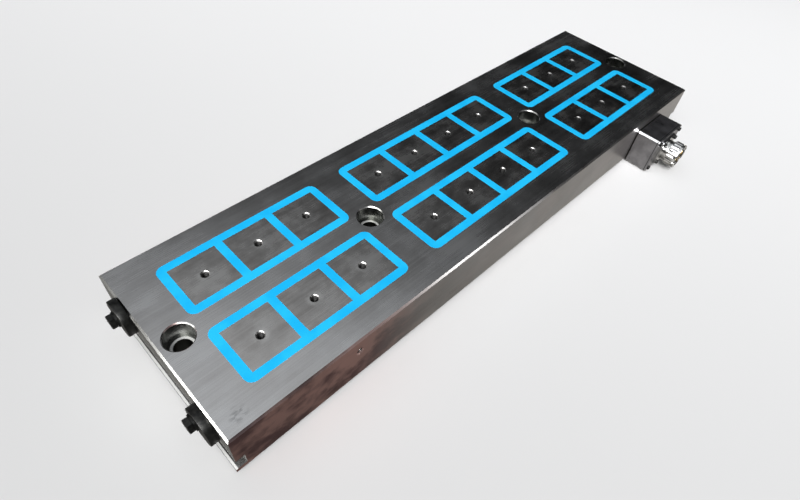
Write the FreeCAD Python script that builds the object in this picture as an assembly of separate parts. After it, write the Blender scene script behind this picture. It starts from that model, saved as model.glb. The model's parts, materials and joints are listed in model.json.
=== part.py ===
"""Electro-permanent magnetic chuck with twenty square poles, in millimetres.

The frame's origin is the centre of the base plate's underside. +X runs along
the chuck to the end without stops, +Y to the long side without the junction
box, and +Z up out of the work face.
"""

import FreeCAD
import Part
import math
import os

from FreeCAD import Vector

X = Vector(1, 0, 0)
Y = Vector(0, 1, 0)
Z = Vector(0, 0, 1)

# Magnet body and its base plate
BODY_LENGTH = 763.0
BODY_WIDTH = 212.0
BODY_HEIGHT = 59.0
TOP_CHAMFER = 1.8
BASE_THICKNESS = 6.0
BASE_INSET = 4.0

# Clamping groove across each end, with the thin lip under it
LIP_THICKNESS = 5.0
LIP_REACH = 2.0
GROOVE_HEIGHT = 15.0
GROOVE_DEPTH = 9.0

# Pole layout: two rows, each of groups that share one pocket
POLE_SIDE = 50.0
POLE_GAP = 9.0
ROW_SPACING = 88.3
GROUP_SPACING = 250.0
POLES_PER_GROUP = (3, 4, 3)
POCKET_CORNER = 8.5
POCKET_DEPTH = 46.0

# What stands in a pocket, from its floor up: the core is narrower than its
# pole, the winding round it a little wider, and the magnets a little shorter
CORE_STEP = 4.0
CORE_HEIGHT = 22.0
COIL_OVERHANG = 3.5
COIL_CLEARANCE = 1.0
RESIN_THICKNESS = 6.0
MAGNET_STEP = 2.0

# Tapped hole in the middle of each pole
POLE_TAP_RADIUS = 2.5
POLE_TAP_DEPTH = 12.0

# Counterbored holes for the bolts that hold the chuck on a table
BOLT_HOLE_X = (140.5, 361.0)
BOLT_HOLE_RADIUS = 9.0
BOLT_SEAT_RADIUS = 14.0
BOLT_SEAT_DEPTH = 18.0
BOLT_SEAT_CHAMFER = 1.0

# Wiring channels in the underside of the body
CHANNEL_WIDTH = 12.0
CHANNEL_DEPTH = 7.0
CHANNEL_OFFSET = 18.0
CHANNEL_REACH = 285.0
WIRE_SLOT = 8.0

# Turning stops on the end face
STOP_Y = 65.0
STOP_Z = 47.0
STOP_RADIUS = 18.75
STOP_THICKNESS = 8.0
STOP_ECCENTRICITY = 6.0
STOP_ANGLES = (215.0, 140.0)
STOP_BOLT_RADIUS = 4.0
STOP_RUNNING_FIT = 0.05
STOP_END_GAP = 0.1
STOP_BOLT_GRIP = 16.0
WASHER_RADIUS = 8.0
WASHER_THICKNESS = 1.6
HEX_ACROSS_FLATS = 13.0
HEX_HEIGHT = 5.3

# Tapped hole for a stop on the long side
SIDE_TAP_X = -248.0
SIDE_TAP_RADIUS = 3.4
SIDE_TAP_DEPTH = 18.0
SIDE_SINK_RADIUS = 4.6

# Junction box on the long side
BOX_X = 286.5
BOX_Z = 26.0
BOX_LENGTH = 65.0
BOX_HEIGHT = 50.0
BOX_DEPTH = 29.5
BOX_CHAMFER = 2.0
BOX_BACK_WALL = 6.0
BOX_ROOM_LENGTH = 47.0
BOX_ROOM_HEIGHT = 35.0
GASKET_THICKNESS = 1.0
COVER_THICKNESS = 2.0

# Connector on the cover
FLANGE_SIDE = 36.0
FLANGE_THICKNESS = 2.5
FLANGE_CORNER = 2.0
NECK_RADIUS = 14.5
NECK_LENGTH = 8.0
COLLAR_RADIUS = 17.0
COLLAR_LENGTH = 14.0
SHELL_BORE_RADIUS = 13.0
MOUTH_DEPTH = 12.0
INSERT_TAIL = 6.0
PIN_RING_RADIUS = 7.5
PIN_COUNT = 4
PIN_WIDTH = 2.5
PIN_SIDES = 8
PIN_STAND = 8.0

# Heights and faces worked out from the sizes above
BODY_BOTTOM = BASE_THICKNESS
BODY_TOP = BODY_BOTTOM + BODY_HEIGHT
END_FACE = BODY_LENGTH / 2
SIDE_FACE = BODY_WIDTH / 2
LIP_TOP = BODY_BOTTOM + LIP_THICKNESS
GROOVE_TOP = LIP_TOP + GROOVE_HEIGHT
POCKET_FLOOR = BODY_TOP - POCKET_DEPTH
CORE_TOP = POCKET_FLOOR + CORE_HEIGHT
RESIN_BOTTOM = BODY_TOP - RESIN_THICKNESS
PITCH = POLE_SIDE + POLE_GAP
CORE_SIDE = POLE_SIDE - 2 * CORE_STEP
COIL_SIDE = POLE_SIDE + 2 * COIL_OVERHANG
MAGNET_LENGTH = POLE_SIDE - 2 * MAGNET_STEP
ROWS = {"front": -ROW_SPACING / 2, "back": ROW_SPACING / 2}
GROUPS = tuple((place * GROUP_SPACING, count) for place, count in zip((-1, 0, 1), POLES_PER_GROUP))
BOX_FRONT = -SIDE_FACE - BOX_DEPTH
COVER_BACK = BOX_FRONT - GASKET_THICKNESS
COVER_FRONT = COVER_BACK - COVER_THICKNESS
MOUTH_FACE = COVER_FRONT - FLANGE_THICKNESS - NECK_LENGTH - COLLAR_LENGTH
INSERT_FACE = MOUTH_FACE + MOUTH_DEPTH


def save(name, shape):
    shape.exportStep(f"parts/{name}.step")


def block(low, high):
    size = Vector(*high) - Vector(*low)
    return Part.makeBox(size.x, size.y, size.z, Vector(*low))


def rod(radius, start, direction, length):
    return Part.makeCylinder(radius, length, start, direction)


def cone(radius, end_radius, start, direction, length):
    return Part.makeCone(radius, end_radius, length, start, direction)


def rounded_outline(length, width, radius):
    """Closed rounded rectangle about the origin, in the XY plane."""
    half_x = length / 2
    half_y = width / 2
    lines = []
    arcs = []
    for turn in range(4):
        reach, side = ((half_x, half_y), (half_y, half_x))[turn % 2]
        spin = FreeCAD.Rotation(Z, 90 * turn)
        centre = Vector(reach - radius, side - radius, 0)
        ends = [centre + Vector(radius, 0, 0), centre + Vector(0, radius, 0)]
        middle = centre + Vector(math.cos(math.pi / 4), math.sin(math.pi / 4), 0) * radius
        arcs.append([spin.multVec(point) for point in (ends[0], middle, ends[1])])
    for arc, following in zip(arcs, arcs[1:] + arcs[:1]):
        lines.append(Part.Arc(*arc).toShape())
        lines.append(Part.makeLine(arc[2], following[0]))
    return Part.Wire(lines)


def rounded_block(centre, size, radius, bottom, top):
    """Upright rounded block about a point of the plan."""
    face = Part.Face(rounded_outline(size[0], size[1], radius))
    solid = face.extrude(Z * (top - bottom))
    solid.translate(Vector(centre[0], centre[1], bottom))
    return solid


def chamfered_block(centre, size, chamfer, bottom, top):
    """Upright block with its four upright edges cut off at 45 degrees."""
    half_x = size[0] / 2
    half_y = size[1] / 2
    ring = []
    for sx, sy in ((1, 1), (-1, 1), (-1, -1), (1, -1)):
        pair = [(sx * half_x, sy * (half_y - chamfer)), (sx * (half_x - chamfer), sy * half_y)]
        ring += pair if sx * sy > 0 else pair[::-1]
    points = [Vector(centre[0] + x, centre[1] + y, bottom) for x, y in ring]
    return Part.Face(Part.makePolygon(points + points[:1])).extrude(Z * (top - bottom))


def facing_front(solid):
    """Turns a solid built along +Z so that its +Z points to -Y at the box's middle."""
    solid.rotate(Vector(), X, 90)
    solid.translate(Vector(BOX_X, 0, BOX_Z))
    return solid


def pole_centres(group_x, count):
    return [group_x + (place - (count - 1) / 2) * PITCH for place in range(count)]


def row_centres():
    return [x for group_x, count in GROUPS for x in pole_centres(group_x, count)]


def pocket_size(count):
    return (count * PITCH + POLE_GAP, POLE_SIDE + 2 * POLE_GAP)


def bolt_holes(bottom, top):
    points = [Vector(side * x, 0, bottom) for x in BOLT_HOLE_X for side in (-1, 1)]
    return [rod(BOLT_HOLE_RADIUS, point, Z, top - bottom) for point in points]


def body_blank():
    """Long section with both clamping grooves, drawn once and mirrored."""
    right = [
        (END_FACE + LIP_REACH, BODY_BOTTOM),
        (END_FACE + LIP_REACH, LIP_TOP),
        (END_FACE - GROOVE_DEPTH, LIP_TOP),
        (END_FACE - GROOVE_DEPTH, GROOVE_TOP),
        (END_FACE, GROOVE_TOP),
        (END_FACE, BODY_TOP),
    ]
    outline = right + [(-x, z) for x, z in reversed(right)]
    points = [Vector(x, -SIDE_FACE, z) for x, z in outline]
    blank = Part.Face(Part.makePolygon(points + points[:1])).extrude(Y * BODY_WIDTH)
    rim = [edge for edge in blank.Edges if all(abs(v.Z - BODY_TOP) < 0.01 for v in edge.Vertexes)]
    return blank.makeChamfer(TOP_CHAMFER, rim)


def pockets():
    tools = []
    for row_y in ROWS.values():
        for group_x, count in GROUPS:
            size = pocket_size(count)
            tools.append(rounded_block((group_x, row_y), size, POCKET_CORNER, POCKET_FLOOR, BODY_TOP + 1))
    return tools


def bolt_seats():
    tools = bolt_holes(BODY_BOTTOM - 1, BODY_TOP)
    sink_radius = BOLT_SEAT_RADIUS + BOLT_SEAT_CHAMFER
    for x in BOLT_HOLE_X:
        for side in (-1, 1):
            seat = Vector(side * x, 0, BODY_TOP - BOLT_SEAT_DEPTH)
            rim = Vector(side * x, 0, BODY_TOP - BOLT_SEAT_CHAMFER)
            tools.append(rod(BOLT_SEAT_RADIUS, seat, Z, BOLT_SEAT_DEPTH + 1))
            tools.append(cone(BOLT_SEAT_RADIUS, sink_radius, rim, Z, BOLT_SEAT_CHAMFER))
    return tools


def wiring_channels():
    """One channel under each row, joined by one that leaves behind the junction box."""
    bottom = BODY_BOTTOM - 1
    top = BODY_BOTTOM + CHANNEL_DEPTH
    half = CHANNEL_WIDTH / 2
    lane = ROW_SPACING / 2 + CHANNEL_OFFSET
    tools = [block((BOX_X - half, -SIDE_FACE - 1, bottom), (BOX_X + half, lane + half, top))]
    for side in (-1, 1):
        middle = side * lane
        tools.append(block((-CHANNEL_REACH, middle - half, bottom), (CHANNEL_REACH, middle + half, top)))
        for group_x, count in GROUPS:
            between = pole_centres(group_x, count)[0] + PITCH / 2
            low = (between - WIRE_SLOT / 2, middle - WIRE_SLOT / 2, top - 1)
            tools.append(block(low, (between + WIRE_SLOT / 2, middle + WIRE_SLOT / 2, POCKET_FLOOR + 1)))
    return tools


def side_tap():
    mouth = Vector(SIDE_TAP_X, -SIDE_FACE, STOP_Z)
    sink = SIDE_SINK_RADIUS - SIDE_TAP_RADIUS
    return [
        rod(SIDE_TAP_RADIUS, mouth - Y, Y, SIDE_TAP_DEPTH + 1),
        cone(SIDE_SINK_RADIUS, SIDE_TAP_RADIUS, mouth, Y, sink),
    ]


def stop_bolt_holes():
    starts = [Vector(-END_FACE - 1, side * STOP_Y, STOP_Z) for side in (-1, 1)]
    return [rod(STOP_BOLT_RADIUS, start, X, STOP_BOLT_GRIP + 1) for start in starts]


def body():
    return body_blank().cut(pockets() + bolt_seats() + wiring_channels() + side_tap() + stop_bolt_holes())


def base_plate():
    half_x = END_FACE - BASE_INSET
    half_y = SIDE_FACE - BASE_INSET
    plate = block((-half_x, -half_y, 0), (half_x, half_y, BASE_THICKNESS))
    return plate.cut(bolt_holes(-1, BASE_THICKNESS + 1))


def pole(x, row_y):
    half = POLE_SIDE / 2
    solid = block((x - half, row_y - half, CORE_TOP), (x + half, row_y + half, BODY_TOP))
    return solid.cut(rod(POLE_TAP_RADIUS, Vector(x, row_y, BODY_TOP - POLE_TAP_DEPTH), Z, POLE_TAP_DEPTH + 1))


def core(x, row_y):
    half = CORE_SIDE / 2
    return block((x - half, row_y - half, POCKET_FLOOR), (x + half, row_y + half, CORE_TOP))


def coil(x, row_y):
    """Winding wound tight on its square core."""
    top = CORE_TOP - COIL_CLEARANCE
    outer = COIL_SIDE / 2
    inner = CORE_SIDE / 2
    winding = block((x - outer, row_y - outer, POCKET_FLOOR), (x + outer, row_y + outer, top))
    return winding.cut(block((x - inner, row_y - inner, POCKET_FLOOR - 1), (x + inner, row_y + inner, top + 1)))


def side_magnets(row_y):
    """Flat magnets in every gap round the poles of a row, each against its pole."""
    half_pole = POLE_SIDE / 2
    half_magnet = MAGNET_LENGTH / 2
    magnets = []
    for group_x, count in GROUPS:
        centres = pole_centres(group_x, count)
        gaps = [centres[0] - PITCH] + centres
        for x in gaps:
            low = (x + half_pole, row_y - half_magnet, CORE_TOP)
            high = (x + half_pole + POLE_GAP, row_y + half_magnet, RESIN_BOTTOM)
            magnets.append(block(low, high))
        for x in centres:
            for inner in (row_y - half_pole - POLE_GAP, row_y + half_pole):
                low = (x - half_magnet, inner, CORE_TOP)
                high = (x + half_magnet, inner + POLE_GAP, RESIN_BOTTOM)
                magnets.append(block(low, high))
    return Part.makeCompound(magnets)


def resin(group_x, count, row_y):
    half = POLE_SIDE / 2
    fill = rounded_block((group_x, row_y), pocket_size(count), POCKET_CORNER, RESIN_BOTTOM, BODY_TOP)
    tools = []
    for x in pole_centres(group_x, count):
        tools.append(block((x - half, row_y - half, RESIN_BOTTOM - 1), (x + half, row_y + half, BODY_TOP + 1)))
    return fill.cut(tools)


def stop_disc(y, angle):
    """Round stop, bored off centre for its bolt."""
    pivot = Vector(-END_FACE - STOP_END_GAP, y, STOP_Z)
    offset = FreeCAD.Rotation(X, angle).multVec(Y) * STOP_ECCENTRICITY
    disc = rod(STOP_RADIUS, pivot + offset, -X, STOP_THICKNESS)
    return disc.cut(rod(STOP_BOLT_RADIUS + STOP_RUNNING_FIT, pivot + X, -X, STOP_THICKNESS + 2))


def stop_washer(y):
    inner = -END_FACE - STOP_THICKNESS - 2 * STOP_END_GAP
    start = Vector(inner, y, STOP_Z)
    washer = rod(WASHER_RADIUS, start, -X, WASHER_THICKNESS)
    return washer.cut(rod(STOP_BOLT_RADIUS, start + X, -X, WASHER_THICKNESS + 2))


def flat_sided_rod(sides, across_flats, start, direction, length):
    """Rod of regular section, one of its corners to +Z."""
    corner = Z * (across_flats / 2 / math.cos(math.pi / sides))
    turns = [FreeCAD.Rotation(direction, 360 * side / sides) for side in range(sides)]
    ring = [start + turn.multVec(corner) for turn in turns]
    return Part.Face(Part.makePolygon(ring + ring[:1])).extrude(direction * length)


def stop_bolt(y):
    seat = Vector(-END_FACE - STOP_THICKNESS - 2 * STOP_END_GAP - WASHER_THICKNESS, y, STOP_Z)
    shank = rod(STOP_BOLT_RADIUS, seat, X, -END_FACE + STOP_BOLT_GRIP - seat.x)
    return flat_sided_rod(6, HEX_ACROSS_FLATS, seat, -X, HEX_HEIGHT).fuse(shank)


def box_part(back, front):
    """Slice of the box's outline between two Y values, its long edges chamfered."""
    size = (BOX_LENGTH, BOX_HEIGHT)
    return facing_front(chamfered_block((0, 0), size, BOX_CHAMFER, -back, -front))


def box_room(back, front):
    half_x = BOX_ROOM_LENGTH / 2
    half_z = BOX_ROOM_HEIGHT / 2
    return block((BOX_X - half_x, front, BOX_Z - half_z), (BOX_X + half_x, back, BOX_Z + half_z))


def junction_box():
    """Open-fronted box with a passage in its back wall where the wiring channel ends."""
    room_back = -SIDE_FACE - BOX_BACK_WALL
    half = CHANNEL_WIDTH / 2
    low = (BOX_X - half, room_back - 1, BOX_Z - BOX_ROOM_HEIGHT / 2)
    passage = block(low, (BOX_X + half, -SIDE_FACE + 1, BODY_BOTTOM + CHANNEL_DEPTH))
    return box_part(-SIDE_FACE, BOX_FRONT).cut([box_room(room_back, BOX_FRONT - 1), passage])


def box_gasket():
    return box_part(BOX_FRONT, COVER_BACK).cut(box_room(BOX_FRONT + 1, COVER_BACK - 1))


def box_cover():
    hole = rod(SHELL_BORE_RADIUS, Vector(BOX_X, COVER_BACK + 1, BOX_Z), -Y, COVER_THICKNESS + 2)
    return box_part(COVER_BACK, COVER_FRONT).cut(hole)


def connector_shell():
    """Square flange, neck and wider collar, with one bore through all of them."""
    size = (FLANGE_SIDE, FLANGE_SIDE)
    neck_end = FLANGE_THICKNESS + NECK_LENGTH
    length = neck_end + COLLAR_LENGTH
    flange = chamfered_block((0, 0), size, FLANGE_CORNER, 0, FLANGE_THICKNESS)
    neck = rod(NECK_RADIUS, Z * FLANGE_THICKNESS, Z, NECK_LENGTH)
    collar = rod(COLLAR_RADIUS, Z * neck_end, Z, COLLAR_LENGTH)
    bore = rod(SHELL_BORE_RADIUS, -Z, Z, length + 2)
    shell = facing_front(flange.fuse([neck, collar]).cut(bore))
    shell.translate(Y * COVER_FRONT)
    return shell


def connector_insert():
    start = Vector(BOX_X, COVER_BACK + INSERT_TAIL, BOX_Z)
    return rod(SHELL_BORE_RADIUS, start, -Y, start.y - INSERT_FACE)


def connector_pins():
    middle = Vector(BOX_X, INSERT_FACE, BOX_Z)
    spokes = [FreeCAD.Rotation(Y, 360 * turn / PIN_COUNT + 45).multVec(X) for turn in range(PIN_COUNT)]
    roots = [middle + spoke * PIN_RING_RADIUS for spoke in spokes]
    return Part.makeCompound([flat_sided_rod(PIN_SIDES, PIN_WIDTH, root, -Y, PIN_STAND) for root in roots])


def save_pole_rows():
    """Poles and resin one by one, the rest of each row as one group per kind."""
    for row, row_y in ROWS.items():
        for number, x in enumerate(row_centres(), 1):
            save(f"pole_{row}_{number:02d}", pole(x, row_y))
        for number, (group_x, count) in enumerate(GROUPS, 1):
            save(f"resin_{row}_{number}", resin(group_x, count, row_y))
        save(f"alnico_cores_{row}", Part.makeCompound([core(x, row_y) for x in row_centres()]))
        save(f"coils_{row}", Part.makeCompound([coil(x, row_y) for x in row_centres()]))
        save(f"side_magnets_{row}", side_magnets(row_y))


def save_stops():
    sides = (-STOP_Y, STOP_Y)
    for name, y, angle in zip(("front", "back"), sides, STOP_ANGLES):
        save(f"stop_disc_{name}", stop_disc(y, angle))
    save("stop_washers", Part.makeCompound([stop_washer(y) for y in sides]))
    save("stop_bolts", Part.makeCompound([stop_bolt(y) for y in sides]))


def main():
    os.makedirs("parts", exist_ok=True)
    save("body", body())
    save("base_plate", base_plate())
    save_pole_rows()
    save_stops()
    save("junction_box", junction_box())
    save("box_gasket", box_gasket())
    save("box_cover", box_cover())
    save("connector_shell", connector_shell())
    save("connector_insert", connector_insert())
    save("connector_pins", connector_pins())


main()
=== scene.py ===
"""Looks of an electro-permanent magnetic chuck: its finishes, the fittings too
fine for the solid model, soft studio light and the camera. Metres throughout.
"""

import json
import math

import bmesh
import bpy
from mathutils import Matrix, Vector


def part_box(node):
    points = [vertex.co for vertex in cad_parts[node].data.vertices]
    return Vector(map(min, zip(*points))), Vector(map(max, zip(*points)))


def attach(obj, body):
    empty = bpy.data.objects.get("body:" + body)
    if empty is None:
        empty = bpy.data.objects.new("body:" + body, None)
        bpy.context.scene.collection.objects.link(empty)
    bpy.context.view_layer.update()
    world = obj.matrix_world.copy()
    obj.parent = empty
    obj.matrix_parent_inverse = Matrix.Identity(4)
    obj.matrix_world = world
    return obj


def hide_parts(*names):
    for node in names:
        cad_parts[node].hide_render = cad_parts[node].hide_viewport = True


MM = 0.001
X = Vector((1, 0, 0))
Y = Vector((0, 1, 0))
Z = Vector((0, 0, 1))

# Places and sizes of the solid model that the finishes and fittings go by
WORK_FACE = 65 * MM
END_FACE = 381.5 * MM
SIDE_FACE = 106 * MM
LIP_TOP = 11 * MM
BOLT_HOLE_X = (140.5 * MM, 361 * MM)
BOLT_HOLE_RADIUS = 9 * MM
BOLT_SEAT_RADIUS = 14 * MM
SIDE_TAP_X = -248 * MM
SIDE_TAP_Z = 47 * MM
FLANGE_THICKNESS = 2.5 * MM


# ---------------------------------------------------------------- shader maths


class Wire:
    """A node's output. Arithmetic on wires adds Math nodes."""

    def __init__(self, finish, socket):
        self.finish = finish
        self.socket = socket

    def maths(self, operation, *values):
        return self.finish.node("ShaderNodeMath", {"operation": operation}, dict(enumerate(values)))

    def __add__(self, other):
        return self.maths("ADD", self, other)

    def __radd__(self, other):
        return self.maths("ADD", other, self)

    def __sub__(self, other):
        return self.maths("SUBTRACT", self, other)

    def __rsub__(self, other):
        return self.maths("SUBTRACT", other, self)

    def __mul__(self, other):
        return self.maths("MULTIPLY", self, other)

    def __rmul__(self, other):
        return self.maths("MULTIPLY", other, self)

    def __pow__(self, other):
        return self.maths("POWER", self, other)

    def __abs__(self):
        return self.maths("ABSOLUTE", self)

    def exp(self):
        return self.maths("EXPONENT", self)

    def sine(self):
        return self.maths("SINE", self)

    def at_most(self, other):
        return self.maths("MINIMUM", self, other)

    def at_least(self, other):
        return self.maths("MAXIMUM", self, other)

    def rising(self, low, high):
        """0 below low and 1 above high, with a soft step between."""
        settings = {"interpolation_type": "SMOOTHSTEP"}
        return self.finish.node("ShaderNodeMapRange", settings, {0: self, 1: low, 2: high})


class Finish:
    """A node tree being wired: a surface finish, or the surrounding light."""

    def __init__(self, owner):
        owner.use_nodes = True
        self.owner = owner
        self.tree = owner.node_tree
        self.tree.nodes.clear()

    def node(self, kind, settings=None, sockets=None, output=0):
        made = self.tree.nodes.new(kind)
        for name, value in (settings or {}).items():
            setattr(made, name, value)
        for key, value in (sockets or {}).items():
            if isinstance(value, Wire):
                self.tree.links.new(value.socket, made.inputs[key])
            else:
                made.inputs[key].default_value = value
        return Wire(self, made.outputs[output])

    def place(self, output="Object"):
        return self.node("ShaderNodeTexCoord", output=output)

    def parts(self, vector):
        """The three numbers of a vector wire."""
        split = self.node("ShaderNodeSeparateXYZ", None, {0: vector})
        return [Wire(self, socket) for socket in split.socket.node.outputs]

    def noise(self, stretch, detail=3.0, rough=0.5, shift=(0, 0, 0), place=None):
        """Noise whose grains per metre are given for each direction."""
        moved = self.node(
            "ShaderNodeMapping", None, {0: place or self.place(), 1: shift, 3: stretch}
        )
        sockets = {"Vector": moved, "Scale": 1.0, "Detail": detail, "Roughness": rough}
        return self.node("ShaderNodeTexNoise", None, sockets)

    def mixed(self, amount, first, second):
        """Colour that goes from first to second as amount goes from 0 to 1."""
        settings = {"data_type": "RGBA", "clamp_factor": True}
        colours = [c if isinstance(c, Wire) else (*c, 1.0) for c in (first, second)]
        return self.node("ShaderNodeMix", settings, {0: amount, 6: colours[0], 7: colours[1]}, 2)

    def bump(self, height, depth, strength=1.0):
        return self.node(
            "ShaderNodeBump", None, {"Height": height, "Distance": depth, "Strength": strength}
        )

    def surface(self, **sockets):
        """Closes a material with one Principled shader."""
        named = {name.replace("_", " "): value for name, value in sockets.items()}
        for name, value in named.items():
            if name == "Base Color" and not isinstance(value, Wire):
                named[name] = (*value, 1.0)
        shader = self.node("ShaderNodeBsdfPrincipled", None, named)
        self.node_end("ShaderNodeOutputMaterial", shader)
        return self.owner

    def node_end(self, kind, shader):
        end = self.tree.nodes.new(kind)
        self.tree.links.new(shader.socket, end.inputs[0])


def finish(slot):
    """Material for one of the record's finish slots."""
    return Finish(bpy.data.materials.new(f"{slot}_finish"))


# -------------------------------------------------------------------- finishes


def grinding(look, along):
    """Fine marks that a surface grinder leaves, along one direction."""
    fine = tuple(7 if axis == along else 1500 for axis in range(3))
    broad = tuple(2.5 if axis == along else 190 for axis in range(3))
    return look.noise(fine, 2.0, 0.6) * 0.6 + look.noise(broad, 3.0, 0.5, (3, 1, 2)) * 0.4


def ground_steel():
    """Body: ground along its length, the ends across, with a painted brown reflection on the sides."""
    look = finish("body_steel")
    x, y, z = look.parts(look.place())
    nx, ny, nz = look.parts(look.place("Normal"))
    end = abs(nx).rising(0.5, 0.8)
    side = abs(ny).rising(0.5, 0.8)
    top = nz.rising(0.5, 0.9)
    marks = grinding(look, 0) * (1 - end) + grinding(look, 1) * end
    cloud = look.noise((16, 22, 20), 5.0, 0.55)
    patch = look.noise((5, 9, 9), 4.0, 0.6, (4, 0, 7))
    handled = cloud.rising(0.36, 0.66) * 0.55 + patch.rising(0.38, 0.64) * 0.45
    steel = look.mixed(handled, (0.43, 0.42, 0.41), (0.63, 0.63, 0.63))
    steel = look.mixed(marks.rising(0.35, 0.68) * 0.35, steel, (0.74, 0.74, 0.73))
    smudge = smudge_mask(x, y) * look.noise((190, 420, 190), 3.0).rising(0.42, 0.6) * top
    steel = look.mixed(smudge * 0.5, steel, (0.20, 0.20, 0.20))
    # Painted shade: the end faces darkened to an olive grey.
    steel = look.mixed(end * 0.42, steel, (0.15, 0.155, 0.115))
    seat, ring = seat_shade_and_ring_highlight(x, y, z)
    # Painted shade inside the bolt seats.
    steel = look.mixed(seat * 0.74, steel, (0.05, 0.056, 0.048))
    # Painted highlight on the ring round each hole in the seats and on the tops of the end lips, which are
    # also made rougher.
    ledge_highlight = (ring + lip_highlight_mask(x, z)).at_most(1.0) * top
    steel = look.mixed(ledge_highlight, steel, (0.92, 0.92, 0.90))
    # Painted brown reflection on both long sides, strongest towards the end with the stops; it also adds
    # roughness.
    brown_reflection_mask = side * (1 - seat) * (0.08 + 0.92 * (1 - x.rising(-260 * MM, -140 * MM)))
    steel = look.mixed(brown_reflection_mask * 0.9, steel, painted_brown_reflection(look))
    rough = 0.21 + 0.10 * handled + 0.16 * (marks - 0.5) + 0.10 * brown_reflection_mask
    rough = rough + 0.06 * (end + side) + 0.35 * ledge_highlight
    relief = marks + 0.35 * look.noise((240, 240, 240), 2.0)
    return look.surface(
        Base_Color=steel, Metallic=1.0, Roughness=rough, Normal=look.bump(relief, 0.00003)
    )


def seat_shade_and_ring_highlight(x, y, z):
    """Painted shade inside the counterbored seats, and the ring round each hole in them, for a painted
    highlight.
    """
    near, far = BOLT_HOLE_X
    beside = abs(abs(x) - (near + far) / 2) - (far - near) / 2
    from_hole = (beside * beside + y * y) ** 0.5
    inside = 1 - from_hole.rising(BOLT_SEAT_RADIUS + 0.2 * MM, BOLT_SEAT_RADIUS + 0.6 * MM)
    seat = inside * (1 - z.rising(WORK_FACE - 1.4 * MM, WORK_FACE - 0.8 * MM))
    beyond = from_hole.rising(BOLT_HOLE_RADIUS + 2.0 * MM, BOLT_HOLE_RADIUS + 2.9 * MM)
    return seat, seat * (1 - beyond)


def lip_highlight_mask(x, z):
    """Where the lips get their painted highlight: the thin lip under the clamping groove of each end."""
    low = 1 - z.rising(LIP_TOP + 0.2 * MM, LIP_TOP + 0.8 * MM)
    return low * abs(x).rising(END_FACE - 0.3 * MM, END_FACE + 0.1 * MM)


def painted_brown_reflection(look):
    """Painted reflection: a mottled brown."""
    mottle = look.noise((24, 24, 34), 4.0, 0.6, (1, 0, 3)).rising(0.38, 0.62)
    return look.mixed(mottle, (0.20, 0.080, 0.080), (0.72, 0.41, 0.36))


def smudge_mask(x, y):
    """A rubbed spot on the work face, near the front corner of the end with the
    stops. It reaches 1/95 m along the body and 1/110 m across it."""
    spot_x, spot_y = -362.6 * MM, -91.4 * MM
    across = (x - spot_x) * 95
    along = (y - spot_y) * 110
    return 1 - (across * across + along * along).rising(0.0, 1.0)


def pole_steel():
    """Pole ends: ground with the body, burnished round the tapped hole, with painted shade inside it.
    Distances from the hole are in millimetres here."""
    look = finish("pole_steel")
    pole_side = 50
    u, v, _ = look.parts(look.place("UV"))
    across = (u - 0.5) * pole_side
    along = (v - 0.5) * pole_side
    from_hole = (across * across + along * along) ** 0.5
    marks = grinding(look, 0)
    cloud = look.noise((24, 34, 30), 5.0, 0.6, (9, 2, 0))
    worn = cloud.rising(0.36, 0.66)
    steel = look.mixed(worn, (0.36, 0.345, 0.33), (0.54, 0.53, 0.515))
    steel = look.mixed(marks.rising(0.35, 0.68) * 0.35, steel, (0.68, 0.67, 0.65))
    halo = (1 - from_hole.rising(4.6, 10.0)) * look.noise((150, 150, 150), 3.0).rising(0.35, 0.62)
    steel = look.mixed(halo * 0.55, steel, (0.78, 0.77, 0.75))
    # Painted shade down the hole and the lower part of its countersink, which is also made rougher.
    throat_shade = 1 - from_hole.rising(3.4, 3.9)
    steel = look.mixed(throat_shade * 0.95, steel, (0.02, 0.02, 0.02))
    rough = 0.21 + 0.09 * worn + 0.16 * (marks - 0.5) + 0.3 * throat_shade
    return look.surface(
        Base_Color=steel, Metallic=1.0, Roughness=rough, Normal=look.bump(marks, 0.00003)
    )


def plate_steel():
    """Base plate: hot rolled, only wiped clean."""
    look = finish("plate_steel")
    scale = look.noise((45, 45, 45), 5.0, 0.6)
    spots = look.noise((260, 260, 260), 3.0).rising(0.5, 0.66)
    tone = look.mixed(scale.rising(0.35, 0.65), (0.10, 0.10, 0.105), (0.24, 0.235, 0.23))
    tone = look.mixed(spots * 0.4, tone, (0.20, 0.13, 0.09))
    rough = 0.48 + 0.2 * (scale - 0.5) + 0.1 * spots
    return look.surface(
        Base_Color=tone,
        Metallic=0.85,
        Roughness=rough,
        Normal=look.bump(scale + 0.3 * spots, 0.00012),
    )


def blue_resin():
    """Potting resin: cast level, then ground flush with the poles."""
    look = finish("blue_resin")
    cloud = look.noise((30, 30, 30), 4.0, 0.55)
    speck = look.noise((520, 520, 520), 2.0).rising(0.64, 0.74)
    tint = look.mixed(cloud.rising(0.35, 0.65), (0.009, 0.46, 0.87), (0.018, 0.53, 0.94))
    tint = look.mixed(speck * 0.25, tint, (0.006, 0.30, 0.62))
    scuff = look.noise((12, 700, 400), 3.0)
    rough = 0.34 + 0.18 * (cloud - 0.5) + 0.16 * (scuff - 0.5) + 0.2 * speck
    return look.surface(
        Base_Color=tint,
        Roughness=rough,
        IOR=1.5,
        Specular_IOR_Level=0.14,
        Normal=look.bump(scuff + speck * -0.6, 0.00002),
    )


def black_oxide():
    """Oiled black oxide, rubbed brighter on high spots."""
    look = finish("black_oxide")
    grain = look.noise((380, 380, 380), 4.0, 0.6)
    turned = look.noise((2400, 90, 90), 2.0)
    rubbed = look.noise((120, 120, 120), 4.0).rising(0.52, 0.72)
    tone = look.mixed(grain.rising(0.35, 0.7), (0.009, 0.009, 0.009), (0.022, 0.022, 0.020))
    tone = look.mixed(rubbed * 0.25, tone, (0.08, 0.08, 0.076))
    rough = 0.36 + 0.2 * (grain - 0.5) + 0.12 * (turned - 0.5)
    return look.surface(
        Base_Color=tone,
        Metallic=0.55,
        Roughness=rough,
        Normal=look.bump(grain * 0.4 + turned * 0.6, 0.00003),
    )


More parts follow.
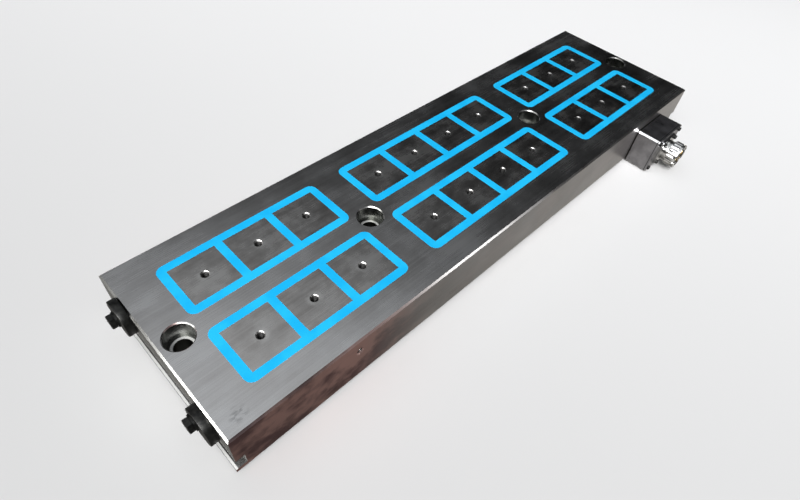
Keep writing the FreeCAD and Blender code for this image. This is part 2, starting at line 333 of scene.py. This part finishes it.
def box_steel():
    """Junction box: machined steel, darker than the body, with a painted highlight on its chamfers and a
    painted shadow along its joint with the body."""
    look = finish("box_steel")
    marks = look.noise((1300, 30, 30), 2.0, 0.6) * 0.5 + look.noise((90, 60, 90), 4.0) * 0.5
    cloud = look.noise((60, 60, 60), 4.0, 0.55, (2, 5, 1))
    tone = look.mixed(cloud.rising(0.36, 0.64), (0.31, 0.305, 0.325), (0.45, 0.445, 0.47))
    tone = look.mixed(marks.rising(0.5, 0.7) * 0.3, tone, (0.58, 0.58, 0.60))
    _, y, _ = look.parts(look.place())
    nx, _, nz = look.parts(look.place("Normal"))
    # Painted highlight on the box's chamfers.
    chamfer_highlight = (abs(nx) * abs(nz)).rising(0.3, 0.45)
    tone = look.mixed(chamfer_highlight, tone, (0.95, 0.95, 0.95))
    # Painted shadow along the box's joint with the body.
    joint_shadow = y.rising(-SIDE_FACE - 2.2 * MM, -SIDE_FACE - 1.0 * MM)
    tone = look.mixed(joint_shadow, tone, (0.03, 0.03, 0.03))
    rough = 0.30 + 0.12 * (cloud - 0.5) + 0.14 * (marks - 0.5)
    return look.surface(
        Base_Color=tone, Metallic=1.0, Roughness=rough, Normal=look.bump(marks, 0.00003)
    )


def gasket_rubber():
    look = finish("gasket_rubber")
    grain = look.noise((900, 900, 900), 3.0)
    tone = look.mixed(grain.rising(0.4, 0.62), (0.010, 0.010, 0.011), (0.026, 0.026, 0.027))
    return look.surface(
        Base_Color=tone, Roughness=0.62 + 0.2 * (grain - 0.5), Normal=look.bump(grain, 0.00008)
    )


def connector_plating():
    """Bright nickel over die casting, finely pitted."""
    look = finish("connector_plating")
    cloud = look.noise((140, 140, 140), 4.0, 0.55)
    pits = look.noise((800, 800, 800), 2.0).rising(0.6, 0.72)
    tone = look.mixed(cloud.rising(0.35, 0.65), (0.80, 0.79, 0.77), (0.93, 0.93, 0.92))
    tone = look.mixed(pits * 0.4, tone, (0.45, 0.44, 0.41))
    rough = 0.16 + 0.12 * (cloud - 0.5) + 0.2 * pits
    return look.surface(
        Base_Color=tone,
        Metallic=1.0,
        Roughness=rough,
        Normal=look.bump(cloud - pits * 0.3, 0.00004),
    )


def insert_plastic():
    look = finish("insert_plastic")
    grain = look.noise((300, 300, 300), 4.0)
    tone = look.mixed(grain.rising(0.4, 0.62), (0.016, 0.016, 0.018), (0.034, 0.034, 0.036))
    return look.surface(
        Base_Color=tone, Roughness=0.42 + 0.2 * (grain - 0.5), Normal=look.bump(grain, 0.00003)
    )


def pin_brass():
    look = finish("pin_brass")
    cloud = look.noise((500, 500, 500), 3.0)
    tone = look.mixed(cloud.rising(0.35, 0.65), (0.70, 0.50, 0.22), (0.90, 0.71, 0.36))
    return look.surface(
        Base_Color=tone,
        Metallic=1.0,
        Roughness=0.24 + 0.2 * (cloud - 0.5),
        Normal=look.bump(cloud, 0.00002),
    )


def copper_winding():
    """Enamelled wire wound in level layers."""
    look = finish("copper_winding")
    _, _, z = look.parts(look.place())
    wire = 0.9 * MM
    layer = (z * (2 * math.pi / wire)).sine() * 0.5 + 0.5
    tint = look.noise((70, 70, 260), 3.0)
    tone = look.mixed(tint.rising(0.35, 0.65), (0.50, 0.17, 0.06), (0.74, 0.32, 0.13))
    # Painted shade in the grooves between the turns.
    tone = look.mixed((1 - layer) * 0.7, tone, (0.10, 0.03, 0.012))
    return look.surface(
        Base_Color=tone,
        Metallic=0.9,
        Roughness=0.30 + 0.1 * (1 - layer),
        Coat_Weight=0.5,
        Normal=look.bump(layer, 0.00018),
    )


def alnico():
    """Cast magnet, as it comes from the mould, ends ground."""
    look = finish("alnico")
    grain = look.noise((420, 420, 420), 5.0, 0.65)
    tone = look.mixed(grain.rising(0.36, 0.64), (0.16, 0.155, 0.15), (0.33, 0.325, 0.31))
    return look.surface(
        Base_Color=tone,
        Metallic=0.9,
        Roughness=0.5 + 0.25 * (grain - 0.5),
        Normal=look.bump(grain, 0.0002),
    )


def plated_magnet():
    """Nickel-plated sintered magnet."""
    look = finish("plated_magnet")
    cloud = look.noise((90, 90, 90), 4.0)
    tone = look.mixed(cloud.rising(0.35, 0.65), (0.58, 0.56, 0.52), (0.75, 0.73, 0.69))
    return look.surface(
        Base_Color=tone,
        Metallic=1.0,
        Roughness=0.24 + 0.15 * (cloud - 0.5),
        Normal=look.bump(cloud, 0.00003),
    )


# ----------------------------------------------------------- shapes in sections


def round_section(angle):
    """Plain round section: the same reach at every angle."""
    return 1.0


def flat_sided(sides):
    """Section with flats: its corners stand further out than its flats."""
    step = 2 * math.pi / sides

    def reach(angle):
        return 1 / math.cos((angle + step / 2) % step - step / 2)

    return reach


def clipped_square(clip):
    """Square section whose corners are cut, clip being the cut line's distance over the flat's."""
    square = flat_sided(4)
    corners = flat_sided(4)

    def reach(angle):
        return min(square(angle), clip * corners(angle + math.pi / 4))

    return reach


def fluted(count, depth):
    """Round section with hollow grip flutes."""

    def reach(angle):
        return 1 - depth * (0.5 + 0.5 * math.cos(count * angle)) ** 2

    return reach


def grown_from(vert, fresh):
    """The new vertex that an extrusion joined to this one."""
    return next(edge.other_vert(vert) for edge in vert.link_edges if edge.other_vert(vert) in fresh)


def stack(loops, segments=48):
    """Closed shell through a stack of sections, each (reach, height, section).

    A section may add how far it is moved sideways. A reach of 0 is a point, and
    two ends that are the same loop close a ring.
    """
    bm = bmesh.new()
    ring = bmesh.ops.create_circle(bm, segments=segments, radius=1.0)["verts"]
    bearing = {vert: math.atan2(vert.co.y, vert.co.x) for vert in ring}
    order = sorted(ring, key=bearing.get)
    angles = [bearing[vert] for vert in order]
    same_ends = loops[0] == loops[-1]
    for number, loop in enumerate(loops):
        reach, height, section, *moved = (*loop, round_section)[: max(3, len(loop))]
        if number:
            edges = [bm.edges.get((a, b)) for a, b in zip(order, order[1:] + order[:1])]
            made = bmesh.ops.extrude_edge_only(bm, edges=edges)["geom"]
            fresh = {vert for vert in made if isinstance(vert, bmesh.types.BMVert)}
            order = [grown_from(vert, fresh) for vert in order]
        shift = moved[0] if moved else Vector((0, 0))
        for vert, angle in zip(order, angles):
            span = reach * section(angle)
            vert.co = (span * math.cos(angle) + shift.x, span * math.sin(angle) + shift.y, height)
        if number == 0 and reach and not same_ends:
            bm.faces.new(order)
    if loops[-1][0] and not same_ends:
        bm.faces.new(order)
    return bm


def facing(direction):
    """Turn that takes +Z to one of the frame's own directions."""
    up = Vector(direction)
    left = X if abs(up.z) > 0.5 else Z.cross(up)
    turn = Matrix((left, up.cross(left), up)).transposed()
    return turn.to_4x4()


def put(bm, matrix):
    """The same shape, turned and moved."""
    bmesh.ops.transform(bm, matrix=matrix, verts=bm.verts)
    return bm


def at(point, direction=Z):
    """Takes a shape from the origin to a point, its +Z turned to a direction."""
    return Matrix.Translation(Vector(point)) @ facing(direction)


def together(shapes):
    """Several shapes as one mesh of separate shells."""
    whole = bmesh.new()
    for shape in shapes:
        part = bpy.data.meshes.new("part")
        tidy(shape)
        shape.to_mesh(part)
        shape.free()
        whole.from_mesh(part)
        bpy.data.meshes.remove(part)
    return whole


def tidy(bm):
    """Merges doubles and turns every face outwards."""
    bmesh.ops.remove_doubles(bm, verts=bm.verts, dist=1e-7)
    bmesh.ops.dissolve_degenerate(bm, edges=bm.edges, dist=1e-8)
    bmesh.ops.recalc_face_normals(bm, faces=bm.faces)


def piece(name, bm, material, body, stands_for=(), sharp=32):
    """Makes a finished piece that rides on a body."""
    tidy(bm)
    for face in bm.faces:
        face.smooth = True
    for edge in bm.edges:
        if len(edge.link_faces) == 2 and edge.calc_face_angle(0) > math.radians(sharp):
            edge.smooth = False
    mesh = bpy.data.meshes.new(name)
    bm.to_mesh(mesh)
    bm.free()
    mesh.materials.append(material)
    made = bpy.data.objects.new(name, mesh)
    bpy.context.scene.collection.objects.link(made)
    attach(made, body)
    if stands_for:
        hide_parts(*stands_for)
    return made


def carved(name, blank, cutters):
    """A blank less its cutters, as a bmesh again."""
    solids = []
    for label, bm in ((name, blank), ("cutters", cutters)):
        tidy(bm)
        mesh = bpy.data.meshes.new(label)
        bm.to_mesh(mesh)
        bm.free()
        solid = bpy.data.objects.new(label, mesh)
        bpy.context.scene.collection.objects.link(solid)
        solids.append(solid)
    cut = solids[0].modifiers.new("cut", "BOOLEAN")
    cut.object = solids[1]
    cut.operation = "DIFFERENCE"
    cut.solver = "EXACT"
    result = bmesh.new()
    result.from_object(solids[0], bpy.context.evaluated_depsgraph_get())
    for solid in solids:
        mesh = solid.data
        bpy.data.objects.remove(solid)
        bpy.data.meshes.remove(mesh)
    return result


def thread(minor, major, pitch, start, end):
    """Crests and roots of an internal thread, from start down to end."""
    turns = round(abs(end - start) / pitch)
    step = (end - start) / turns
    loops = []
    for turn in range(turns):
        top = start + turn * step
        loops += [(minor, top), (minor, top + 0.15 * step)]
        loops += [(major, top + 0.5 * step), (minor, top + 0.85 * step)]
    return loops + [(minor, end)]


def block(size, centre):
    """Plain rectangular blank, for cutting."""
    bm = bmesh.new()
    bmesh.ops.create_cube(bm, size=1.0)
    return put(bm, Matrix.Translation(Vector(centre)) @ Matrix.Diagonal((*size, 1)))


# ------------------------------------------------------------------------ poles


def tapped_pole(low, high):
    """Square pole with a countersunk M6 hole in the middle of its face."""
    side = (high.x - low.x) / 2
    square = flat_sided(4)
    depth = high.z - low.z
    minor, major, pitch = 2.5 * MM, 2.95 * MM, 1.0 * MM
    first, last = -1.8 * MM, -11.8 * MM
    loops = [(side, -depth, square), (side, 0, square), (4.5 * MM, 0), (2.6 * MM, -1.7 * MM)]
    loops += [*thread(minor, major, pitch, first, last), (0, last - 1.0 * MM)]
    return put(stack(loops, 48), at(((low.x + high.x) / 2, (low.y + high.y) / 2, high.z)))


def add_poles(material):
    for name in sorted(NODES):
        if not name.startswith("pole_"):
            continue
        low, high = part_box(name)
        made = piece(f"{name}_face", tapped_pole(low, high), material, "chuck", [name])
        sheet = made.data.uv_layers.new(name="face")
        middle = (low + high) / 2
        width = high.x - low.x
        for corner, uv in zip(made.data.loops, sheet.data):
            off = made.data.vertices[corner.vertex_index].co - middle
            uv.uv = (0.5 + off.x / width, 0.5 + off.y / width)


# ------------------------------------------------------------------------ stops


def stop_disc(radius, bore, thickness, shift):
    """Turned disc bored off centre, all its rims broken."""
    rim = 0.9 * MM
    edge = 0.5 * MM
    outer = [(radius - rim, 0), (radius - 0.3 * rim, 0.25 * rim), (radius, rim)]
    outer += [(r, thickness - h) for r, h in reversed(outer)]
    inner = [(bore + edge, thickness), (bore, thickness - edge), (bore, edge), (bore + edge, 0)]
    loops = [(r, h, round_section, shift) for r, h in outer]
    loops += [(r, h, round_section, Vector((0, 0))) for r, h in inner]
    return stack(loops + loops[:1], 72)


def add_stops(material):
    bore = 4.05 * MM
    for name, body in (("stop_disc_front", "stop_front"), ("stop_disc_back", "stop_back")):
        low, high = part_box(name)
        joint = next(j for j in frame["joints"] if j["child"] == body)
        pivot = Vector(joint["pos_m"])
        middle = (low + high) / 2
        face = at((high.x, pivot.y, pivot.z), -X)
        off = face.inverted() @ Vector((high.x, middle.y, middle.z))
        disc = stop_disc((high.z - low.z) / 2, bore, high.x - low.x, off.xy)
        piece(f"{name}_turned", put(disc, face), material, body, [name])


def hex_bolt(flats, height, shank, length):
    """Hexagon bolt standing on its washer face, its head crowned, thread below."""
    hexagon = flat_sided(6)
    crown = flats * 0.95
    crown_angle = math.radians(30)
    pitch = 1.25 * MM
    turns = 9
    first = 1.2 * MM - length
    loops = [(0, -length), (shank - 0.8 * MM, -length), (shank, 0.8 * MM - length)]
    for turn in range(turns):
        foot = first + turn * pitch
        loops += [(shank, foot), (shank - 0.7 * MM, foot + 0.62 * MM)]
    loops += [(shank, first + turns * pitch), (shank, 0)]
    loops += [(flats * 0.96, 0), (flats * 0.97, 0.35 * MM), (flats, 0.36 * MM, hexagon)]
    loops += [(flats, height - 0.2 * MM, hexagon), (crown, height)]
    loops += [(crown * 0.45, height), (0, height - 0.25 * MM)]
    bm = stack(loops, 72)
    for vert in bm.verts:
        out = vert.co.xy.length
        if vert.co.z > height / 2 and out > flats * 0.99:
            vert.co.z = height - (out - crown) * math.tan(crown_angle)
    return bm


def add_bolts(material):
    low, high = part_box("stop_bolts")
    washer_low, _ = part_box("stop_washers")
    seat = washer_low.x
    pivots = [Vector(joint["pos_m"]) for joint in frame["joints"]]
    heads = []
    for pivot in pivots:
        spot = at((seat, pivot.y, pivot.z), -X) @ Matrix.Rotation(math.pi / 6, 4, "Z")
        bolt = hex_bolt(flats=6.5 * MM, height=seat - low.x, shank=4 * MM, length=high.x - seat)
        heads.append(put(bolt, spot))
    piece("stop_bolts_crowned", together(heads), material, "chuck", ["stop_bolts"])


# ----------------------------------------------------------------- small screws


def cap_screw(radius, height, socket):
    """Socket head standing on its seat, with a knurled rim and a hexagon socket."""
    hexagon = flat_sided(6)
    knurl = fluted(24, 0.035)
    loops = [(radius * 0.5, -2 * MM), (radius * 0.5, 0), (radius * 0.97, 0)]
    loops += [(radius, 0.1 * height, knurl), (radius, 0.78 * height, knurl)]
    loops += [(radius * 0.97, 0.88 * height), (radius * 0.86, height), (socket * 1.22, height)]
    loops += [(socket, 0.9 * height, hexagon), (socket, 0.45 * height, hexagon)]
    return stack(loops + [(0, 0.32 * height)], 72)


def flat_screw(radius, depth, socket):
    """Countersunk screw, its face just under the plate's own."""
    hexagon = flat_sided(6)
    loops = [(0, -depth - 6 * MM), (radius * 0.5, -depth - 6 * MM), (radius * 0.5, -depth)]
    loops += [(radius, -0.45 * MM), (radius, -0.2 * MM), (radius - 0.2 * MM, -0.1 * MM)]
    loops += [(socket * 1.2, -0.1 * MM), (socket, -0.35 * MM, hexagon), (socket, -2.4 * MM, hexagon)]
    return stack(loops + [(0, -2.9 * MM)], 48)


def add_base_plate(plate_material, screw_material):
    """Base plate with its bolt holes and countersunk screws."""
    low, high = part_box("base_plate")
    thick = high.z - low.z
    blank = block(high - low, (low + high) / 2)
    bmesh.ops.bevel(
        blank, geom=blank.edges[:], offset=0.6 * MM, segments=2, profile=0.5, affect="EDGES", material=-1
    )
    mouth = [(BOLT_HOLE_RADIUS, -1 * MM - thick), (BOLT_HOLE_RADIUS, -0.6 * MM)]
    mouth += [(BOLT_HOLE_RADIUS + 1.2 * MM, 0.6 * MM)]
    cutters = [put(stack(mouth, 72), at((side * x, 0, 0), -Z)) for side in (-1, 1) for x in BOLT_HOLE_X]
    screw_x = (-350 * MM, -187.5 * MM, 0, 187.5 * MM, 350 * MM)
    screw_y = 92 * MM
    spots = [(x, y, 0) for x in screw_x for y in (-screw_y, screw_y)]
    sink = [(3.3 * MM, -1 * MM - thick), (3.3 * MM, -3.6 * MM), (6.2 * MM, -0.4 * MM), (6.2 * MM, 0.5 * MM)]
    cutters += [put(stack(sink, 48), at(spot, -Z)) for spot in spots]
    plate = carved("plate_blank", blank, together(cutters))
    piece("base_plate_drilled", plate, plate_material, "chuck", ["base_plate"])
    screws = [put(flat_screw(6.0 * MM, 3.3 * MM, 2.0 * MM), at(spot, -Z)) for spot in spots]
    piece("base_plate_screws", together(screws), screw_material, "chuck")


# ---------------------------------------------------------------- junction box


def screws_round(centre, beside, above, height):
    """Four cap screws at the corners of an oblong, their heads facing the front."""
    screws = []
    for side_x in (-1, 1):
        for side_z in (-1, 1):
            spot = centre + Vector((side_x * beside, 0, side_z * above))
            screws.append(put(cap_screw(2.75 * MM, height, 1.25 * MM), at(spot, -Y)))
    return together(screws)


def add_box_screws(material):
    low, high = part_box("box_cover")
    middle = (low + high) / 2
    centre = Vector((middle.x, low.y, middle.z))
    screws = screws_round(centre, 27 * MM, 20 * MM, 2.6 * MM)
    piece("box_cover_screws", screws, material, "chuck")


def connector_shell(front, back):
    """Square flange, ribbed neck and fluted collar round one stepped bore."""
    flange = FLANGE_THICKNESS
    side = 18 * MM
    corner = 2 * MM
    square = clipped_square((2 * side - corner) / math.sqrt(2) / side)
    shell = [(13 * MM, 0), (side - 0.1 * MM, 0, square), (side, 0.2 * MM, square)]
    shell += [(side, flange - 0.4 * MM, square), (side - 0.4 * MM, flange, square)]
    shell += [(15.6 * MM, flange), (14.9 * MM, flange + 0.25 * MM)]
    shell += [(14.5 * MM, flange + 0.8 * MM), (14.5 * MM, flange + 2.2 * MM)]
    for rib in range(3):
        foot = flange + 2.4 * MM + rib * 1.5 * MM
        shell += [(14.2 * MM, foot), (13.8 * MM, foot + 0.35 * MM)]
        shell += [(13.8 * MM, foot + 0.7 * MM), (14.4 * MM, foot + 1.1 * MM)]
    length = back - front
    collar = length - 14 * MM
    grip = fluted(20, 0.055)
    shell += [(14.4 * MM, collar - 0.4 * MM), (16.2 * MM, collar), (16.8 * MM, collar + 0.6 * MM)]
    shell += [(17 * MM, collar + 1.2 * MM, grip), (17 * MM, length - 4.2 * MM, grip)]
    shell += [(16.4 * MM, length - 3.6 * MM), (16.4 * MM, length - 3.0 * MM)]
    shell += [(16.9 * MM, length - 2.6 * MM), (16.9 * MM, length - 0.6 * MM), (16.4 * MM, length)]
    shell += [(14.3 * MM, length), (13.7 * MM, length - 0.5 * MM), (13.7 * MM, length - 4 * MM)]
    shell += [(13 * MM, length - 4.5 * MM)]
    return stack(shell + shell[:1], 160)


def add_connector(plating, brass, screw_material):
    low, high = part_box("connector_shell")
    middle = (low + high) / 2
    shell = connector_shell(low.y, high.y)
    length = high.y - low.y
    notches = []
    for turn in range(6):
        notch = block((5 * MM, 4.2 * MM, 5.2 * MM), (16.2 * MM, 0, length))
        notches.append(put(notch, Matrix.Rotation(turn * math.pi / 3 + 0.25, 4, "Z")))
    seat = at((middle.x, high.y, middle.z), -Y)
    shell = put(carved("shell_blank", shell, together(notches)), seat)
    piece("connector_shell_plated", shell, plating, "chuck", ["connector_shell"])

    flange_face = Vector((middle.x, high.y - FLANGE_THICKNESS, middle.z))
    screws = screws_round(flange_face, 14.25 * MM, 14.25 * MM, 3 * MM)
    piece("connector_screws", screws, screw_material, "chuck")

    insert_low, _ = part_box("connector_insert")
    pin_low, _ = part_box("connector_pins")
    stand = insert_low.y - pin_low.y
    tip = [(0, 0), (1.25 * MM, 0), (1.25 * MM, stand - 0.9 * MM), (1.05 * MM, stand - 0.35 * MM)]
    tip += [(0.6 * MM, stand - 0.06 * MM), (0, stand)]
    ring = 7.5 * MM
    pins = []
    for turn in range(4):
        angle = math.radians(45 + 90 * turn)
        root = middle + Vector((math.cos(angle), 0, math.sin(angle))) * ring
        pins.append(put(stack(tip, 24), at((root.x, insert_low.y, root.z), -Y)))
    piece("connector_pins_round", together(pins), brass, "chuck", ["connector_pins"])


def add_side_thread(material):
    """Thread crests in the tapped hole of the long side."""
    low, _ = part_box("body")
    outside = 3.9 * MM
    mouth, foot = -2 * MM, -17 * MM
    crests = thread(3.27 * MM, 3.5 * MM, 1.25 * MM, mouth, foot)
    sleeve = [(outside, foot), (outside, mouth), *crests]
    sleeve = put(stack(sleeve + sleeve[:1], 48), at((SIDE_TAP_X, low.y, SIDE_TAP_Z), -Y))
    piece("side_hole_thread", sleeve, material, "chuck")


# ---------------------------------------------------------------------- studio


def studio_light():
    """Soft surroundings: bright overhead and behind the camera, dim at the level of
    the floor, and plain and pale where the camera itself sees them."""
    world = bpy.data.worlds.new("studio")
    bpy.context.scene.world = world
    look = Finish(world)
    x, y, z = look.parts(look.node("ShaderNodeTexCoord", output="Generated"))
    behind = (0.2 - (0.77 * x + 0.64 * y)).at_least(0.0)
    overhead = (11.5 * z - 10.42 - 1.6 * x + 1.2 * y + 3.0 * behind).exp()
    back_glow = 0.3 * (1 - z.rising(0.12, 0.32)) * y.rising(-0.2, 0.2) * x.rising(-0.6, -0.2)
    above = overhead + back_glow
    front = (-0.5 - y).at_least(0.0)
    below = (1.8 * abs(x) + 0.25 * y - 2.25 + 2.0 * front).exp()
    below = below * (1 - z.rising(-0.3, -0.02))
    upper = z.rising(-0.01, 0.01)
    level = (above * upper + below * (1 - upper)).at_most(0.72)
    tint = look.mixed(upper, (1.0, 0.97, 0.92), (0.97, 1.0, 1.04))
    shown = look.node("ShaderNodeLightPath", output="Is Camera Ray")
    level = level * (1 - shown) + 0.85 * shown
    look.node_end("ShaderNodeOutputWorld", look.node("ShaderNodeBackground", None, {0: tint, 1: level}))


def lamp(name, spot, target, size, power, diffuse=True):
    """Soft lamp. Without diffuse it shows only as a reflection."""
    light = bpy.data.lights.new(name, "AREA")
    light.shape = "RECTANGLE"
    light.size, light.size_y = size
    light.energy = power
    holder = bpy.data.objects.new(name, light)
    holder.location = spot
    holder.rotation_euler = (Vector(target) - Vector(spot)).to_track_quat("-Z", "Y").to_euler()
    holder.visible_camera = False
    holder.visible_diffuse = diffuse
    bpy.context.scene.collection.objects.link(holder)


def from_point(point, azimuth, elevation, distance):
    """The place at a distance from a point, its direction given in degrees."""
    turn, rise = math.radians(azimuth), math.radians(elevation)
    level = math.cos(rise)
    direction = Vector((math.cos(turn) * level, math.sin(turn) * level, math.sin(rise)))
    return Vector(point) + distance * direction


def add_lamps():
    middle = (0, 0, 0)
    lamp("key", from_point(middle, -146, 48, 6.0), middle, (3.0, 2.4), 360)
    lamp("left_panel", from_point(middle, 166, 34, 6.0), middle, (5.6, 2.6), 190, diffuse=False)
    end = (-383 * MM, 0, WORK_FACE)
    lamp("end_strip", from_point(end, 158, 5, 1.6), end, (0.42, 0.25), 7, diffuse=False)
    edge = (-105 * MM, -SIDE_FACE, WORK_FACE)
    lamp("edge_strip", from_point(edge, -52, 19, 1.2), edge, (0.05, 0.12), 1.2, diffuse=False)


def add_floor():
    """Pale paper with painted shading, darker beyond the end with the stops. Reflections leave it out."""
    bm = bmesh.new()
    bmesh.ops.create_grid(bm, x_segments=1, y_segments=1, size=15.0)
    put(bm, Matrix.Translation((0, 0, -0.6 * MM)))
    mesh = bpy.data.meshes.new("floor")
    bm.to_mesh(mesh)
    bm.free()
    look = finish("floor_paper")
    x, y, _ = look.parts(look.place())
    across = 0.8 * x + 0.35 * y
    # Painted shading: darker towards the end with the stops and the front.
    pale = look.mixed(across.rising(-0.75, 0.75), (0.575, 0.571, 0.567), (0.99, 0.982, 0.976))
    mesh.materials.append(look.surface(Base_Color=pale, Roughness=0.95, Specular_IOR_Level=0.0))
    floor = bpy.data.objects.new("floor", mesh)
    bpy.context.scene.collection.objects.link(floor)
    floor.visible_glossy = False


def add_camera():
    """Camera over the front corner of the end with the stops, looking along the chuck."""
    place = (-0.4168, -0.2831, 0.4748)
    right = Vector((0.7131, -0.6970, 0.0758)).normalized()
    back = -Vector((0.4951, 0.4241, -0.7583)).normalized()
    up = back.cross(right).normalized()
    right = up.cross(back)
    lens = bpy.data.cameras.new("camera")
    lens.lens = 24.22
    lens.sensor_width = 36
    lens.clip_start = 0.01
    camera = bpy.data.objects.new("camera", lens)
    turn = Matrix((right, up, back)).transposed().to_4x4()
    camera.matrix_world = Matrix.Translation(place) @ turn
    bpy.context.scene.collection.objects.link(camera)
    bpy.context.scene.camera = camera


# ------------------------------------------------------------------------ build

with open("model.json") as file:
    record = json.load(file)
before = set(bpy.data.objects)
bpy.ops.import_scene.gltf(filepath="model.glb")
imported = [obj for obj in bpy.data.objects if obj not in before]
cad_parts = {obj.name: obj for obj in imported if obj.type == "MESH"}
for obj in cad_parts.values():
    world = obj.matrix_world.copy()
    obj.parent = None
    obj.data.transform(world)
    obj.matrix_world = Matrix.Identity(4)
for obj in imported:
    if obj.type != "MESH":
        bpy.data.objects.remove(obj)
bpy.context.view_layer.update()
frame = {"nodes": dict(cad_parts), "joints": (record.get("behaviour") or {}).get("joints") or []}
NODES = frame["nodes"]


def dress(material, *names):
    """Gives CAD nodes their finish."""
    for name in names:
        mesh = NODES[name].data
        mesh.materials.clear()
        mesh.materials.append(material)


def build():
    steel = ground_steel()
    oxide = black_oxide()
    rows = ("front", "back")
    dress(steel, "body")
    dress(blue_resin(), *[name for name in NODES if name.startswith("resin_")])
    dress(alnico(), *[f"alnico_cores_{row}" for row in rows])
    dress(copper_winding(), *[f"coils_{row}" for row in rows])
    dress(plated_magnet(), *[f"side_magnets_{row}" for row in rows])
    dress(oxide, "stop_washers")
    dress(box_steel(), "junction_box", "box_cover")
    dress(gasket_rubber(), "box_gasket")
    dress(insert_plastic(), "connector_insert")
    add_poles(pole_steel())
    add_stops(oxide)
    add_bolts(oxide)
    add_base_plate(plate_steel(), oxide)
    add_box_screws(oxide)
    add_connector(connector_plating(), pin_brass(), oxide)
    add_side_thread(steel)


build()
add_floor()
studio_light()
add_lamps()
add_camera()
bpy.context.scene.view_settings.view_transform = "Standard"
